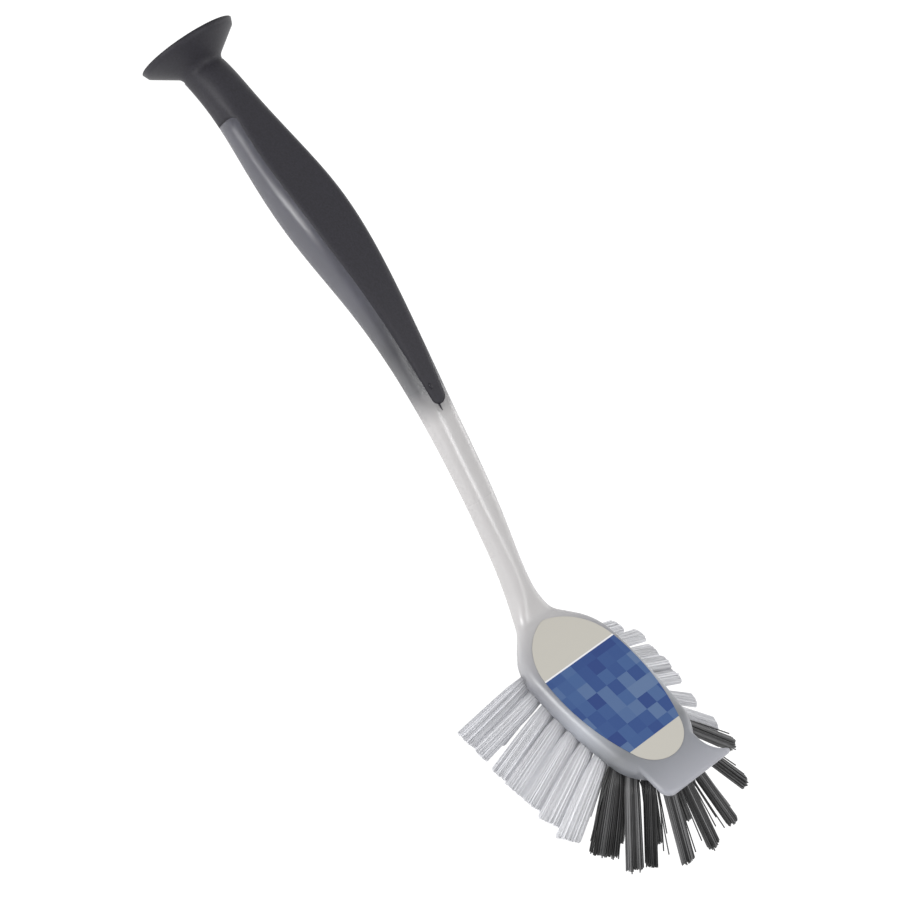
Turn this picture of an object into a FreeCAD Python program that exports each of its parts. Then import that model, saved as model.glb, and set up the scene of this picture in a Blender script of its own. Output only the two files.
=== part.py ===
import FreeCAD, Part
import Sketcher
import math
import os

# A washing-up brush, modelled in millimetres in the frame of its head: the plate's top face is z = 0,
# +X points to the scraper and +Z away from the bristles. Each finished piece is then placed as the brush
# lies on a table, on its rear bristle tips and the rim of its suction cup.

Vector = FreeCAD.Vector
Rotation = FreeCAD.Rotation
Placement = FreeCAD.Placement
Y_AXIS = Vector(0, 1, 0)
Z_AXIS = Vector(0, 0, 1)
XY_PLANE = "XY_Plane"
XZ_PLANE = "XZ_Plane"

# Driving dimensions: lengths in millimetres, angles in degrees.
DIMENSIONS = {
    # Head plate, seen from above and in section.
    "plate_width": 35.6,
    "plate_thickness": 8.8,
    "plate_side_radius": 150.0,
    "plate_nose_radius": 16.0,
    "plate_rear_radius": 20.0,
    "plate_widest_back": 9.4,
    "plate_shoulder_back": 18.0,
    "tail_back": 36.5,
    "tail_width": 13.2,
    "edge_height": 6.2,
    "edge_radius": 2.8,
    # Scraper tab at the nose, with its lengths measured from the plate's tip.
    "tab_reach": 6.5,
    "tab_root": 8.5,
    "tab_left": 10.9,
    "tab_right": 12.3,
    "tab_flare_back": 3.1,
    "tab_flare_radius": 9.1,
    "tab_point_radius": 0.8,
    "tab_corner_radius": 3.8,
    "tab_thickness": 2.2,
    "tab_drop": 0.2,
    "tab_edge_radius": 0.7,
    # Spine of the neck and handle: two arcs and a straight run, from the head upwards.
    "neck_back": 42.8,
    "neck_height": 1.2,
    "neck_angle": 40.6,
    "middle_angle": 30.0,
    "grip_angle": 14.0,
    "shaft_radius": 426.0,
    "bend_radius": 209.0,
    "heel_radius": 22.0,
    # Sections along the spine, width across the brush by thickness, with rounded corners.
    "heel_width": 19.2,
    "heel_thickness": 5.8,
    "heel_corner": 2.0,
    "instep_angle": 20.0,
    "instep_width": 14.1,
    "instep_thickness": 6.2,
    "instep_corner": 2.2,
    "neck_width": 9.3,
    "neck_thickness": 8.2,
    "neck_corner": 2.8,
    "waist_angle": 37.4,
    "waist_width": 8.3,
    "waist_thickness": 8.1,
    "waist_corner": 2.8,
    "tongue_angle": 31.7,
    "tongue_width": 10.0,
    "tongue_thickness": 8.9,
    "tongue_corner": 2.8,
    "swell_angle": 23.6,
    "swell_width": 13.2,
    "swell_thickness": 13.4,
    "swell_corner": 3.0,
    "belly_width": 18.4,
    "belly_thickness": 15.5,
    "belly_corner": 3.2,
    "taper_run": 23.0,
    "taper_width": 16.4,
    "taper_thickness": 13.4,
    "taper_corner": 3.6,
    "collar_run": 41.0,
    "collar_width": 14.0,
    "collar_thickness": 13.7,
    "collar_corner": 5.5,
    "cup_run": 55.6,
    "cup_neck": 13.8,
    "cup_neck_corner": 6.4,
    "cup_drop": 1.6,
    # Rubber grip: wall over the plastic core, and outline of the inlay seen from above.
    "rubber_wall": 2.6,
    "core_side": 0.25,
    "sleeve_side": 0.9,
    "core_corner_share": 0.4,
    "core_end_gap": 9.0,
    "inlay_tip_radius": 2.7,
    "inlay_belly": 71.7,
    "inlay_width": 16.1,
    "inlay_side_radius": 229.0,
    "inlay_length": 108.0,
    "inlay_corner_radius": 2.2,
    # Suction cup.
    "cup_angle": 19.5,
    "cup_height": 9.5,
    "cup_diameter": 32.6,
    "cup_back_diameter": 31.0,
    "cup_edge": 1.8,
    "cup_mouth": 29.0,
    "cup_depth": 6.0,
    "cup_flare_radius": 3.0,
    # Label on the plate.
    "label_margin": 2.0,
    "label_side_radius": 67.6,
    "label_nose_radius": 11.4,
    "label_rear_radius": 19.6,
    "label_widest_back": 8.0,
    "label_shoulder_back": 17.0,
    "label_end_radius": 4.0,
    "label_thickness": 0.15,
    # Bristle tufts, their holes and their anchors.
    "hole_diameter": 3.0,
    "hole_depth": 5.0,
    "tuft_clearance": 0.05,
    "fan_power": 1.8,
    "outer_white_count": 7,
    "outer_black_count": 4,
    "outer_back": 22.5,
    "outer_splay": 50.0,
    "outer_white_length": 26.0,
    "outer_black_length": 28.5,
    "outer_white_spread": 5.8,
    "outer_black_spread": 4.8,
    "inner_white_count": 5,
    "inner_black_count": 2,
    "inner_back": 19.5,
    "inner_inset": 8.3,
    "inner_white_splay": 30.0,
    "inner_black_splay": 38.0,
    "inner_white_length": 26.0,
    "inner_black_length": 28.0,
    "inner_spread": 4.8,
    "middle_white_count": 4,
    "middle_black_count": 1,
    "middle_back": 17.0,
    "middle_pitch": 7.5,
    "middle_length": 23.5,
    "anchor_width": 3.3,
    "anchor_height": 1.6,
    "anchor_thickness": 0.4,
    "anchor_lift": 0.7,
}
# A tuft's bundle is drawn with this many flat sides.
TUFT_SIDES = 10
# Two heights closer than this count as the same.
SAME_HEIGHT = 0.001

doc = FreeCAD.newDocument("dish_brush")
sheet = doc.addObject("Spreadsheet::Sheet", "Sizes")
for row, (alias, number) in enumerate(DIMENSIONS.items(), start=1):
    sheet.set(f"A{row}", alias)
    sheet.set(f"B{row}", str(number))
    sheet.setAlias(f"B{row}", alias)
doc.recompute()


def size(alias):
    return float(sheet.get(alias))


def sine(degrees):
    return math.sin(math.radians(degrees))


def cosine(degrees):
    return math.cos(math.radians(degrees))


def point(x, y):
    return Vector(x, y, 0)


def polar(centre, radius, degrees):
    return centre + point(radius * cosine(degrees), radius * sine(degrees))


def origin_plane(body, role):
    return next(feature for feature in body.Origin.OriginFeatures if feature.Role == role)


def new_sketch(body, name, role):
    sketch = body.newObject("Sketcher::SketchObject", name)
    sketch.AttachmentSupport = (origin_plane(body, role), [""])
    sketch.MapMode = "FlatFace"
    return sketch


def add_line(sketch, start, end):
    return sketch.addGeometry(Part.LineSegment(start, end))


def add_arc(sketch, centre, radius, start, end):
    circle = Part.Circle(centre, Z_AXIS, radius)
    return sketch.addGeometry(Part.ArcOfCircle(circle, math.radians(start), math.radians(end)))


def fix(sketch, *constraint):
    return sketch.addConstraint(Sketcher.Constraint(*constraint))


def bind(sketch, expression, *constraint):
    # A dimension of the sketch, which follows the sheet.
    index = fix(sketch, *constraint, sheet.evalExpression(expression))
    sketch.setExpression(f"Constraints[{index}]", expression)


# Points of a sketch's line or arc, and the sketch's own origin and axes, as constraints number them.
START, END, CENTRE = range(1, 4)
ORIGIN = (-1, 1)
LEVEL_AXIS, UPRIGHT_AXIS = range(-1, -3, -1)


def touching_angle(first, first_radius, second, second_radius):
    # Direction, square to the line that touches two circles on one side, from their centres to that line.
    between = second - first
    turn = math.degrees(math.acos((first_radius - second_radius) / between.Length))
    return math.degrees(math.atan2(between.y, between.x)) % 360 - turn


def add_pad(body, name, sketch, length, reversed_pad):
    pad = body.newObject("PartDesign::Pad", name)
    pad.Profile = sketch
    pad.setExpression("Length", length)
    pad.Reversed = reversed_pad
    return pad


def add_mirror(body, name, feature):
    mirror = body.newObject("PartDesign::Mirrored", name)
    mirror.Originals = [feature]
    mirror.MirrorPlane = (origin_plane(body, XZ_PLANE), [""])
    body.Tip = mirror
    doc.recompute()
    return mirror


def edges_at_height(feature, height):
    names = []
    for number, edge in enumerate(feature.Shape.Edges, start=1):
        box = edge.BoundBox
        if max(abs(box.ZMin - height), abs(box.ZMax - height)) < SAME_HEIGHT:
            names.append(f"Edge{number}")
    return names


# Half outline of the head: nose, side and rear arcs, each tangent to the next. The label has such an outline
# too, inside the plate's. The names of their sizes start with plate or label.
NOSE, SIDE, REAR = range(3)
HALF_WIDTHS = {
    "plate": "Sizes.plate_width / 2",
    "label": "(Sizes.plate_width / 2 - Sizes.label_margin)",
}


def drop_text(outline):
    # How far the side arc's centre lies beyond the middle line.
    return f"(Sizes.{outline}_side_radius - {HALF_WIDTHS[outline]})"


def side_circle(outline):
    drop = sheet.evalExpression(drop_text(outline))
    return point(-size(f"{outline}_widest_back"), -drop), size(f"{outline}_side_radius")


def nose_circle(outline):
    side_centre, side_radius = side_circle(outline)
    nose_radius = size(f"{outline}_nose_radius")
    reach = math.sqrt((side_radius - nose_radius) ** 2 - side_centre.y**2)
    return point(side_centre.x + reach, 0), nose_radius


def shoulder_angle(outline):
    back = size(f"{outline}_shoulder_back") - size(f"{outline}_widest_back")
    return 90 + math.degrees(math.asin(back / size(f"{outline}_side_radius")))


def rear_circle(outline):
    side_centre, side_radius = side_circle(outline)
    rear_radius = size(f"{outline}_rear_radius")
    return polar(side_centre, side_radius - rear_radius, shoulder_angle(outline)), rear_radius


def draw_egg(sketch, outline, rear_angle):
    nose_centre, nose_radius = nose_circle(outline)
    side_centre, side_radius = side_circle(outline)
    joint = math.degrees(math.atan2(-side_centre.y, nose_centre.x - side_centre.x))
    shoulder = shoulder_angle(outline)
    add_arc(sketch, nose_centre, nose_radius, 0, joint)
    add_arc(sketch, side_centre, side_radius, joint, shoulder)
    add_arc(sketch, *rear_circle(outline), shoulder, rear_angle)
    fix(sketch, "Tangent", NOSE, END, SIDE, START)
    fix(sketch, "Tangent", SIDE, END, REAR, START)
    fix(sketch, "PointOnObject", NOSE, CENTRE, LEVEL_AXIS)
    bind(sketch, f"Sizes.{outline}_nose_radius", "Radius", NOSE)
    bind(sketch, f"Sizes.{outline}_side_radius", "Radius", SIDE)
    bind(sketch, f"Sizes.{outline}_rear_radius", "Radius", REAR)
    bind(sketch, f"Sizes.{outline}_widest_back", "DistanceX", SIDE, CENTRE, *ORIGIN)
    bind(sketch, drop_text(outline), "DistanceY", SIDE, CENTRE, *ORIGIN)
    bind(sketch, f"Sizes.{outline}_shoulder_back", "DistanceX", SIDE, END, *ORIGIN)
    return polar(nose_centre, nose_radius, 0)


# Head plate: a flat oval with a rounded upper edge and a bevelled underside that faces the outer tufts.
plate = doc.addObject("PartDesign::Body", "HeadPlate")
plate_sketch = new_sketch(plate, "PlateOutline", XY_PLANE)
tail_corner = point(-size("tail_back"), size("tail_width") / 2)
tail_foot = point(tail_corner.x, 0)
rear_centre, rear_radius = rear_circle("plate")
flank_angle = touching_angle(rear_centre, rear_radius, tail_corner, 0)
plate_tip = draw_egg(plate_sketch, "plate", flank_angle)
flank_line = add_line(plate_sketch, polar(rear_centre, rear_radius, flank_angle), tail_corner)
tail_line = add_line(plate_sketch, tail_corner, tail_foot)
middle_line = add_line(plate_sketch, tail_foot, plate_tip)
fix(plate_sketch, "Tangent", REAR, END, flank_line, START)
fix(plate_sketch, "Coincident", flank_line, END, tail_line, START)
fix(plate_sketch, "Coincident", tail_line, END, middle_line, START)
fix(plate_sketch, "Coincident", middle_line, END, NOSE, START)
fix(plate_sketch, "Vertical", tail_line)
fix(plate_sketch, "PointOnObject", middle_line, START, LEVEL_AXIS)
fix(plate_sketch, "PointOnObject", middle_line, END, LEVEL_AXIS)
bind(plate_sketch, "Sizes.tail_back", "DistanceX", tail_line, START, *ORIGIN)
bind(plate_sketch, "Sizes.tail_width / 2", "DistanceY", *ORIGIN, tail_line, START)
plate_pad = add_pad(plate, "PlatePad", plate_sketch, "Sizes.plate_thickness", True)
plate_whole = add_mirror(plate, "PlateMirror", plate_pad)
upper_edge = plate.newObject("PartDesign::Fillet", "UpperEdge")
upper_edge.Base = (plate_whole, edges_at_height(plate_whole, 0))
upper_edge.setExpression("Radius", "Sizes.edge_radius")
doc.recompute()
BEVEL_HEIGHT = "(Sizes.plate_thickness - Sizes.edge_height)"
BEVEL_WIDTH = f"({BEVEL_HEIGHT} / tan(Sizes.outer_splay))"
bevel = plate.newObject("PartDesign::Chamfer", "UndersideBevel")
bevel.Base = (upper_edge, edges_at_height(upper_edge, -size("plate_thickness")))
bevel.ChamferType = "Two distances"
bevel.setExpression("Size", BEVEL_HEIGHT)
bevel.setExpression("Size2", BEVEL_WIDTH)

# Scraper tab: a thin blade just under the plate's top, with a rounded corner on the right and, on the left,
# a hollow side that runs out to a point for scraping corners.
NOSE_REACH = f"sqrt((Sizes.plate_side_radius - Sizes.plate_nose_radius)^2 - {drop_text('plate')}^2)"
PLATE_TIP = f"({NOSE_REACH} - Sizes.plate_widest_back + Sizes.plate_nose_radius)"
TAB_END = f"{PLATE_TIP} + Sizes.tab_reach"
TAB_ROOT = f"{PLATE_TIP} - Sizes.tab_root"
FLARE_START = f"{PLATE_TIP} - Sizes.tab_flare_back"
tab = doc.addObject("PartDesign::Body", "ScraperTab")
tab.setExpression("Placement.Base.z", "-Sizes.tab_drop")
tab_sketch = new_sketch(tab, "TabOutline", XY_PLANE)
tab_end = sheet.evalExpression(TAB_END)
tab_root = sheet.evalExpression(TAB_ROOT)
flare_radius = size("tab_flare_radius")
point_radius = size("tab_point_radius")
corner_radius = size("tab_corner_radius")
flare_centre = point(sheet.evalExpression(FLARE_START), size("tab_left") + flare_radius)
point_x = tab_end - point_radius
between_centres = math.sqrt((flare_radius + point_radius) ** 2 - (point_x - flare_centre.x) ** 2)
point_centre = point(point_x, flare_centre.y - between_centres)
to_flare = flare_centre - point_centre
point_angle = math.degrees(math.atan2(to_flare.y, to_flare.x))
corner_centre = point(tab_end - corner_radius, corner_radius - size("tab_right"))
left_root = point(tab_root, size("tab_left"))
right_root = point(tab_root, -size("tab_right"))
left_line = add_line(tab_sketch, left_root, point(flare_centre.x, left_root.y))
flare = add_arc(tab_sketch, flare_centre, flare_radius, 270, point_angle + 180)
point_arc = add_arc(tab_sketch, point_centre, point_radius, 0, point_angle)
blade_start = polar(point_centre, point_radius, 0)
blade_line = add_line(tab_sketch, blade_start, polar(corner_centre, corner_radius, 0))
corner = add_arc(tab_sketch, corner_centre, corner_radius, 270, 360)
right_line = add_line(tab_sketch, polar(corner_centre, corner_radius, 270), right_root)
root_line = add_line(tab_sketch, right_root, left_root)
fix(tab_sketch, "Tangent", left_line, END, flare, START)
fix(tab_sketch, "Tangent", flare, END, point_arc, END)
fix(tab_sketch, "Tangent", point_arc, START, blade_line, START)
fix(tab_sketch, "Tangent", blade_line, END, corner, END)
fix(tab_sketch, "Tangent", corner, START, right_line, START)
fix(tab_sketch, "Coincident", right_line, END, root_line, START)
fix(tab_sketch, "Coincident", root_line, END, left_line, START)
fix(tab_sketch, "Horizontal", left_line)
fix(tab_sketch, "Vertical", blade_line)
fix(tab_sketch, "Horizontal", right_line)
fix(tab_sketch, "Vertical", root_line)
bind(tab_sketch, "Sizes.tab_flare_radius", "Radius", flare)
bind(tab_sketch, "Sizes.tab_point_radius", "Radius", point_arc)
bind(tab_sketch, "Sizes.tab_corner_radius", "Radius", corner)
bind(tab_sketch, "Sizes.tab_left", "DistanceY", *ORIGIN, left_line, END)
bind(tab_sketch, "Sizes.tab_right", "DistanceY", right_line, END, *ORIGIN)
bind(tab_sketch, FLARE_START, "DistanceX", *ORIGIN, left_line, END)
bind(tab_sketch, TAB_ROOT, "DistanceX", *ORIGIN, root_line, END)
bind(tab_sketch, TAB_END, "DistanceX", *ORIGIN, blade_line, START)
tab_pad = add_pad(tab, "TabPad", tab_sketch, "Sizes.tab_thickness", True)
doc.recompute()
tab_edges = tab.newObject("PartDesign::Fillet", "TabEdges")
tab_rims = edges_at_height(tab_pad, 0) + edges_at_height(tab_pad, -size("tab_thickness"))
tab_edges.Base = (tab_pad, tab_rims)
tab_edges.setExpression("Radius", "Sizes.tab_edge_radius")

# Spine, as places on it that follow the sheet. An arc's place is given by the slope of the handle there.
SHAFT_X = "(-Sizes.neck_back - Sizes.shaft_radius * sin(Sizes.neck_angle))"
SHAFT_Z = "(Sizes.neck_height - Sizes.shaft_radius * cos(Sizes.neck_angle))"
BEND_X = f"({SHAFT_X} + (Sizes.shaft_radius - Sizes.bend_radius) * sin(Sizes.middle_angle))"
BEND_Z = f"({SHAFT_Z} + (Sizes.shaft_radius - Sizes.bend_radius) * cos(Sizes.middle_angle))"
HEEL_X = "(-Sizes.neck_back + Sizes.heel_radius * sin(Sizes.neck_angle))"
HEEL_Z = "(Sizes.neck_height + Sizes.heel_radius * cos(Sizes.neck_angle))"
BELLY_X = f"({BEND_X} + Sizes.bend_radius * sin(Sizes.grip_angle))"
BELLY_Z = f"({BEND_Z} + Sizes.bend_radius * cos(Sizes.grip_angle))"


def on_heel(slope):
    x = f"({HEEL_X} - Sizes.heel_radius * sin({slope}))"
    z = f"({HEEL_Z} - Sizes.heel_radius * cos({slope}))"
    return x, z


def on_shaft(slope):
    x = f"({SHAFT_X} + Sizes.shaft_radius * sin({slope}))"
    z = f"({SHAFT_Z} + Sizes.shaft_radius * cos({slope}))"
    return x, z


def on_bend(slope):
    x = f"({BEND_X} + Sizes.bend_radius * sin({slope}))"
    z = f"({BEND_Z} + Sizes.bend_radius * cos({slope}))"
    return x, z


def on_run(distance):
    x = f"({BELLY_X} - {distance} * cos(Sizes.grip_angle))"
    z = f"({BELLY_Z} + {distance} * sin(Sizes.grip_angle))"
    return x, z


def turned_placement(place, rotation):
    x, z = place
    return f"create(<<placement>>; create(<<vector>>; {x}; 0; {z}); {rotation})"


def turn_text(axis, angle):
    return f"create(<<rotation>>; create(<<vector>>; {axis}); {angle})"


# Turns a section drawn flat, with its width along X, so that it stands across the spine.
UPRIGHT = turn_text("1; 1; 1", "120")


def add_section(name, place, slope, width, thickness, corner):
    # A rectangle with rounded corners, drawn round its middle from the right side onwards.
    section = doc.addObject("Sketcher::SketchObject", name)
    radius = sheet.evalExpression(corner)
    half_width = sheet.evalExpression(width) / 2
    half_thickness = sheet.evalExpression(thickness) / 2
    centres = []
    for across, up in ((1, 1), (-1, 1), (-1, -1), (1, -1)):
        centres.append(point(across * (half_width - radius), up * (half_thickness - radius)))
    sides = []
    corners = []
    for number, centre in enumerate(centres):
        angle = 90 * number
        side_start = polar(centres[number - 1], radius, angle)
        sides.append(add_line(section, side_start, polar(centre, radius, angle)))
        corners.append(add_arc(section, centre, radius, angle, angle + 90))
    right, top, left, bottom = sides
    for number, side in enumerate(sides):
        fix(section, "Tangent", side, END, corners[number], START)
        fix(section, "Tangent", corners[number - 1], END, side, START)
        fix(section, "Horizontal" if side in (top, bottom) else "Vertical", side)
    for other in corners[1:]:
        fix(section, "Equal", corners[0], other)
    bind(section, corner, "Radius", corners[0])
    bind(section, f"({width}) / 2", "DistanceX", *ORIGIN, right, START)
    bind(section, f"({width}) / 2", "DistanceX", left, START, *ORIGIN)
    bind(section, f"({thickness}) / 2", "DistanceY", *ORIGIN, top, START)
    bind(section, f"({thickness}) / 2", "DistanceY", bottom, START, *ORIGIN)
    section.setExpression("Placement", turned_placement(place, f"{turn_text('0; 1; 0', slope)} * {UPRIGHT}"))
    return section


def add_loft(name, sections, ruled):
    loft = doc.addObject("Part::Loft", name)
    loft.Sections = sections
    loft.Solid = True
    loft.Ruled = ruled
    return loft


# Outer form of neck and handle: a smooth skin over sections, from inside the plate up to the cup.
RUN_END = on_run("Sizes.cup_run")
CUP_X = f"({RUN_END[0]} - Sizes.cup_drop * sin(Sizes.grip_angle))"
CUP_Z = f"({RUN_END[1]} - Sizes.cup_drop * cos(Sizes.grip_angle))"
CUP_PLACE = (CUP_X, CUP_Z)
HEAD_STATIONS = {
    "heel": (on_heel("0"), "0"),
    "instep": (on_heel("Sizes.instep_angle"), "Sizes.instep_angle"),
    "neck": (on_shaft("Sizes.neck_angle"), "Sizes.neck_angle"),
}
HANDLE_STATIONS = {
    "waist": (on_shaft("Sizes.waist_angle"), "Sizes.waist_angle"),
    "tongue": (on_shaft("Sizes.tongue_angle"), "Sizes.tongue_angle"),
    "swell": (on_bend("Sizes.swell_angle"), "Sizes.swell_angle"),
    "belly": ((BELLY_X, BELLY_Z), "Sizes.grip_angle"),
    "taper": (on_run("Sizes.taper_run"), "Sizes.grip_angle"),
    "collar": (on_run("Sizes.collar_run"), "Sizes.grip_angle"),
}
# The core lies under the rubber's wall. Beside the tongue it comes nearly to the handle's sides.
CORE_SIDES = {station: "Sizes.core_side" for station in HANDLE_STATIONS}
CORE_SIDES["collar"] = "Sizes.sleeve_side"
form_sections = []
core_sections = []
for station, (place, slope) in {**HEAD_STATIONS, **HANDLE_STATIONS}.items():
    width = f"Sizes.{station}_width"
    thickness = f"Sizes.{station}_thickness"
    corner = f"Sizes.{station}_corner"
    form_sections.append(add_section(f"Form_{station}", place, slope, width, thickness, corner))
    if station in HANDLE_STATIONS:
        core_width = f"{width} - 2 * {CORE_SIDES[station]}"
        core_thickness = f"{thickness} - 2 * Sizes.rubber_wall"
        core_corner = f"{corner} * Sizes.core_corner_share"
        core_name = f"Core_{station}"
        core_sections.append(add_section(core_name, place, slope, core_width, core_thickness, core_corner))
form_end = "Sizes.cup_neck"
end_corner = "Sizes.cup_neck_corner"
form_sections.append(add_section("Form_cup", CUP_PLACE, "Sizes.cup_angle", form_end, form_end, end_corner))
core_place = on_run("(Sizes.cup_run - Sizes.core_end_gap)")
core_end = f"{form_end} - 2 * Sizes.rubber_wall"
core_end_corner = f"{end_corner} * Sizes.core_corner_share"
core_slope = "Sizes.grip_angle"
core_sections.append(add_section("Core_end", core_place, core_slope, core_end, core_end, core_end_corner))
handle_form = add_loft("HandleForm", form_sections, False)
handle_core = add_loft("HandleCore", core_sections, False)

# Where the rubber lies: a tongue on the handle's top, drawn on a plane along the handle from the tongue's
# tip to its broad end, and all round the handle from there to the cup.
TIP_X, TIP_Z = on_shaft("Sizes.tongue_angle")
COLLAR_X, COLLAR_Z = on_run("Sizes.collar_run")
INLAY_ANGLE = f"atan2({COLLAR_Z} - {TIP_Z}; {TIP_X} - {COLLAR_X})"
INLAY_TURN = f"{turn_text('0; 1; 0', INLAY_ANGLE)} * {turn_text('0; 0; 1', '180')}"
INLAY_FRAME = turned_placement((TIP_X, TIP_Z), INLAY_TURN)
inlay = doc.addObject("PartDesign::Body", "InlayZone")
inlay.setExpression("Placement", INLAY_FRAME)
inlay_sketch = new_sketch(inlay, "InlayOutline", XY_PLANE)
tip_radius = size("inlay_tip_radius")
corner_radius = size("inlay_corner_radius")
side_radius = size("inlay_side_radius")
side_centre = point(size("inlay_belly"), size("inlay_width") / 2 - side_radius)
tip_centre = point(tip_radius, 0)
flank_angle = touching_angle(side_centre, side_radius, tip_centre, tip_radius)
corner_x = size("inlay_length") - corner_radius
corner_drop = math.sqrt((side_radius + corner_radius) ** 2 - (corner_x - side_centre.x) ** 2)
corner_centre = point(corner_x, side_centre.y + corner_drop)
from_side = corner_centre - side_centre
corner_angle = math.degrees(math.atan2(from_side.y, from_side.x))
broad_start = polar(corner_centre, corner_radius, 0)
broad_corner = point(broad_start.x, size("belly_width"))
far_corner = point(broad_start.x + size("cup_neck"), broad_corner.y)
far_foot = point(far_corner.x, 0)
tip_arc = add_arc(inlay_sketch, tip_centre, tip_radius, flank_angle, 180)
inlay_flank = add_line(
    inlay_sketch, polar(side_centre, side_radius, flank_angle), polar(tip_centre, tip_radius, flank_angle)
)
side_arc = add_arc(inlay_sketch, side_centre, side_radius, corner_angle, flank_angle)
corner_arc = add_arc(inlay_sketch, corner_centre, corner_radius, corner_angle + 180, 360)
broad_line = add_line(inlay_sketch, broad_start, broad_corner)
top_line = add_line(inlay_sketch, broad_corner, far_corner)
far_line = add_line(inlay_sketch, far_corner, far_foot)
inlay_middle = add_line(inlay_sketch, far_foot, point(0, 0))
fix(inlay_sketch, "Tangent", tip_arc, START, inlay_flank, END)
fix(inlay_sketch, "Tangent", inlay_flank, START, side_arc, END)
fix(inlay_sketch, "Tangent", side_arc, START, corner_arc, START)
fix(inlay_sketch, "Tangent", corner_arc, END, broad_line, START)
fix(inlay_sketch, "Coincident", broad_line, END, top_line, START)
fix(inlay_sketch, "Coincident", top_line, END, far_line, START)
fix(inlay_sketch, "Coincident", far_line, END, inlay_middle, START)
fix(inlay_sketch, "Coincident", inlay_middle, END, tip_arc, END)
fix(inlay_sketch, "Coincident", inlay_middle, END, *ORIGIN)
fix(inlay_sketch, "PointOnObject", inlay_middle, START, LEVEL_AXIS)
fix(inlay_sketch, "PointOnObject", tip_arc, CENTRE, LEVEL_AXIS)
fix(inlay_sketch, "Vertical", broad_line)
fix(inlay_sketch, "Horizontal", top_line)
fix(inlay_sketch, "Vertical", far_line)
bind(inlay_sketch, "Sizes.inlay_tip_radius", "Radius", tip_arc)
bind(inlay_sketch, "Sizes.inlay_side_radius", "Radius", side_arc)
bind(inlay_sketch, "Sizes.inlay_corner_radius", "Radius", corner_arc)
bind(inlay_sketch, "Sizes.inlay_belly", "DistanceX", *ORIGIN, side_arc, CENTRE)
bind(inlay_sketch, "Sizes.inlay_side_radius - Sizes.inlay_width / 2", "DistanceY", side_arc, CENTRE, *ORIGIN)
bind(inlay_sketch, "Sizes.inlay_length", "DistanceX", *ORIGIN, broad_line, START)
bind(inlay_sketch, "Sizes.belly_width", "DistanceY", *ORIGIN, top_line, START)
bind(inlay_sketch, "Sizes.cup_neck", "DistanceX", top_line, START, top_line, END)
inlay_pad = add_pad(inlay, "InlayPad", inlay_sketch, "4 * Sizes.belly_thickness", False)
inlay_pad.SideType = "Symmetric"
add_mirror(inlay, "InlayMirror", inlay_pad)

# The upper half of the handle, above the spine, to which the tongue keeps.
upper = doc.addObject("PartDesign::Body", "UpperZone")
upper_sketch = new_sketch(upper, "SpineSide", XZ_PLANE)
FRONT_PLACE = on_shaft("Sizes.waist_angle")
JOINT_PLACE = on_shaft("Sizes.middle_angle")
UPPER_TOP = f"({RUN_END[1]} + Sizes.belly_width)"


def place_point(place):
    return point(sheet.evalExpression(place[0]), sheet.evalExpression(place[1]))


spine_start = place_point(FRONT_PLACE)
spine_end = place_point(RUN_END)
top_height = sheet.evalExpression(UPPER_TOP)
shaft_arc = add_arc(
    upper_sketch,
    place_point((SHAFT_X, SHAFT_Z)),
    size("shaft_radius"),
    90 - size("waist_angle"),
    90 - size("middle_angle"),
)
bend_arc = add_arc(
    upper_sketch,
    place_point((BEND_X, BEND_Z)),
    size("bend_radius"),
    90 - size("middle_angle"),
    90 - size("grip_angle"),
)
run_line = add_line(upper_sketch, place_point((BELLY_X, BELLY_Z)), spine_end)
rear_line = add_line(upper_sketch, spine_end, point(spine_end.x, top_height))
lid_line = add_line(upper_sketch, point(spine_end.x, top_height), point(spine_start.x, top_height))
front_line = add_line(upper_sketch, point(spine_start.x, top_height), spine_start)
fix(upper_sketch, "Tangent", shaft_arc, END, bend_arc, START)
fix(upper_sketch, "Tangent", bend_arc, END, run_line, START)
fix(upper_sketch, "Coincident", run_line, END, rear_line, START)
fix(upper_sketch, "Coincident", rear_line, END, lid_line, START)
fix(upper_sketch, "Coincident", lid_line, END, front_line, START)
fix(upper_sketch, "Coincident", front_line, END, shaft_arc, START)
fix(upper_sketch, "Vertical", rear_line)
fix(upper_sketch, "Horizontal", lid_line)
fix(upper_sketch, "Vertical", front_line)
bind(upper_sketch, "Sizes.shaft_radius", "Radius", shaft_arc)
bind(upper_sketch, "Sizes.bend_radius", "Radius", bend_arc)
bind(upper_sketch, f"-{SHAFT_X}", "DistanceX", shaft_arc, CENTRE, *ORIGIN)
bind(upper_sketch, f"-{SHAFT_Z}", "DistanceY", shaft_arc, CENTRE, *ORIGIN)
bind(upper_sketch, f"-{FRONT_PLACE[0]}", "DistanceX", shaft_arc, START, *ORIGIN)
bind(upper_sketch, f"-{JOINT_PLACE[0]}", "DistanceX", shaft_arc, END, *ORIGIN)
bind(upper_sketch, f"-{BELLY_X}", "DistanceX", bend_arc, END, *ORIGIN)
bind(upper_sketch, f"-{RUN_END[0]}", "DistanceX", run_line, END, *ORIGIN)
bind(upper_sketch, UPPER_TOP, "DistanceY", *ORIGIN, lid_line, START)
upper_pad = add_pad(upper, "UpperPad", upper_sketch, "2 * Sizes.belly_width", False)
upper_pad.SideType = "Symmetric"
wrap = doc.addObject("Part::Box", "WrapZone")
wrap.setExpression("Length", "Sizes.cup_run")
wrap.setExpression("Width", "2 * Sizes.belly_width")
wrap.setExpression("Height", "2 * Sizes.belly_width")
WRAP_CORNER = "create(<<vector>>; Sizes.inlay_length; -Sizes.belly_width; -Sizes.belly_width)"
WRAP_SHIFT = f"create(<<placement>>; {WRAP_CORNER}; {turn_text('0; 0; 1', '0')})"
wrap.setExpression("Placement", f"{INLAY_FRAME} * {WRAP_SHIFT}")


def add_boolean(kind, name, base, tool):
    result = doc.addObject(f"Part::{kind}", name)
    result.Base = base
    result.Tool = tool
    return result


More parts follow.
